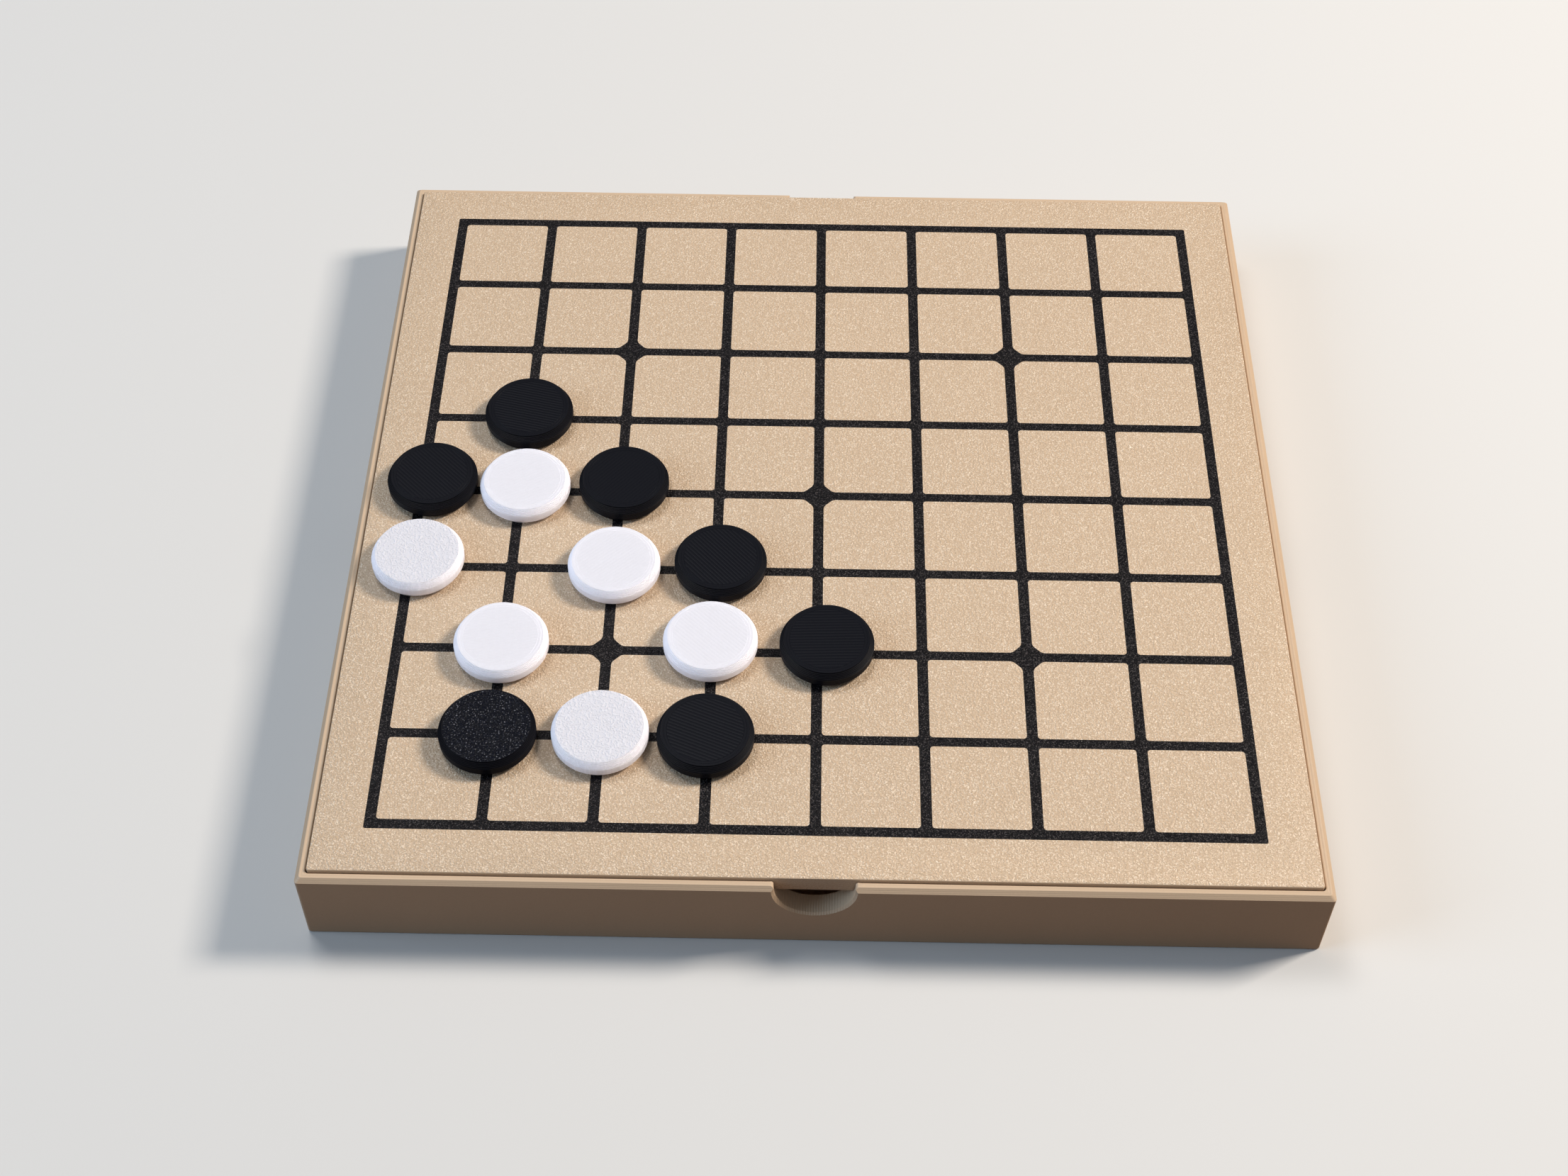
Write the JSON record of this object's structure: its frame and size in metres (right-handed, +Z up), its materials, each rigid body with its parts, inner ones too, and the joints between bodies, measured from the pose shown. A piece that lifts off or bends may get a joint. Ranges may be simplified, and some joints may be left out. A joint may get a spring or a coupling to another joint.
{
  "type": "go board with stone drawers",
  "caption": "Square printed go board with an inlaid line grid: a lift-off board over a flat case, sliding side drawers for the stones, and round stones on the board.",
  "frame": {"origin": "middle of the case's underside, on the surface it stands on", "axes": "+Z up through the board, +Y away from the player in front, +X to that player's right"},
  "size_m": [0.1472, 0.1472, 0.0176],
  "materials": {
    "case_plastic": "printed matt tan plastic, fine layer lines on its walls and on the rim's bevel",
    "board_plastic": "printed tan plastic, grained and faintly sparkling top from a textured print bed",
    "line_plastic": "printed black plastic let into the board, same grained top",
    "drawer_plastic": "printed matt tan plastic with fine layer lines",
    "black_stone": "printed matt black plastic, some faces grained, some with fill lines",
    "white_stone": "printed matt white plastic, softly grained faces, layer rings on the bevel"
  },
  "bodies": {
    "case": {"case": "case_plastic"},
    "board": {"board_plate": "board_plastic", "grid_inlay": "line_plastic"},
    "right_drawer": {"right_drawer": "drawer_plastic", "black_stones_in_right_drawer": "black_stone"},
    "left_drawer": {"left_drawer": "drawer_plastic", "white_stones_in_left_drawer": "white_stone"},
    "black_stone_1": {"black_stone_1": "black_stone"},
    "black_stone_2": {"black_stone_2": "black_stone"},
    "black_stone_3": {"black_stone_3": "black_stone"},
    "black_stone_4": {"black_stone_4": "black_stone"},
    "black_stone_5": {"black_stone_5": "black_stone"},
    "black_stone_6": {"black_stone_6": "black_stone"},
    "black_stone_7": {"black_stone_7": "black_stone"},
    "white_stone_1": {"white_stone_1": "white_stone"},
    "white_stone_2": {"white_stone_2": "white_stone"},
    "white_stone_3": {"white_stone_3": "white_stone"},
    "white_stone_4": {"white_stone_4": "white_stone"},
    "white_stone_5": {"white_stone_5": "white_stone"},
    "white_stone_6": {"white_stone_6": "white_stone"}
  },
  "joints": [
    {"name": "board_lift", "type": "slide", "parent": "case", "child": "board", "axis": [0, 0, 1], "range_m": [0, 0.03]},
    {"name": "right_drawer_slide", "type": "slide", "parent": "case", "child": "right_drawer", "axis": [1, 0, 0], "range_m": [0, 0.0595]},
    {"name": "left_drawer_slide", "type": "slide", "parent": "case", "child": "left_drawer", "axis": [-1, 0, 0], "range_m": [0, 0.0595]},
    {"name": "black_stone_1_lift", "type": "slide", "parent": "board", "child": "black_stone_1", "axis": [0, 0, 1], "range_m": [0, 0.02]},
    {"name": "black_stone_2_lift", "type": "slide", "parent": "board", "child": "black_stone_2", "axis": [0, 0, 1], "range_m": [0, 0.02]},
    {"name": "black_stone_3_lift", "type": "slide", "parent": "board", "child": "black_stone_3", "axis": [0, 0, 1], "range_m": [0, 0.02]},
    {"name": "black_stone_4_lift", "type": "slide", "parent": "board", "child": "black_stone_4", "axis": [0, 0, 1], "range_m": [0, 0.02]},
    {"name": "black_stone_5_lift", "type": "slide", "parent": "board", "child": "black_stone_5", "axis": [0, 0, 1], "range_m": [0, 0.02]},
    {"name": "black_stone_6_lift", "type": "slide", "parent": "board", "child": "black_stone_6", "axis": [0, 0, 1], "range_m": [0, 0.02]},
    {"name": "black_stone_7_lift", "type": "slide", "parent": "board", "child": "black_stone_7", "axis": [0, 0, 1], "range_m": [0, 0.02]},
    {"name": "white_stone_1_lift", "type": "slide", "parent": "board", "child": "white_stone_1", "axis": [0, 0, 1], "range_m": [0, 0.02]},
    {"name": "white_stone_2_lift", "type": "slide", "parent": "board", "child": "white_stone_2", "axis": [0, 0, 1], "range_m": [0, 0.02]},
    {"name": "white_stone_3_lift", "type": "slide", "parent": "board", "child": "white_stone_3", "axis": [0, 0, 1], "range_m": [0, 0.02]},
    {"name": "white_stone_4_lift", "type": "slide", "parent": "board", "child": "white_stone_4", "axis": [0, 0, 1], "range_m": [0, 0.02]},
    {"name": "white_stone_5_lift", "type": "slide", "parent": "board", "child": "white_stone_5", "axis": [0, 0, 1], "range_m": [0, 0.02]},
    {"name": "white_stone_6_lift", "type": "slide", "parent": "board", "child": "white_stone_6", "axis": [0, 0, 1], "range_m": [0, 0.02]}
  ]
}
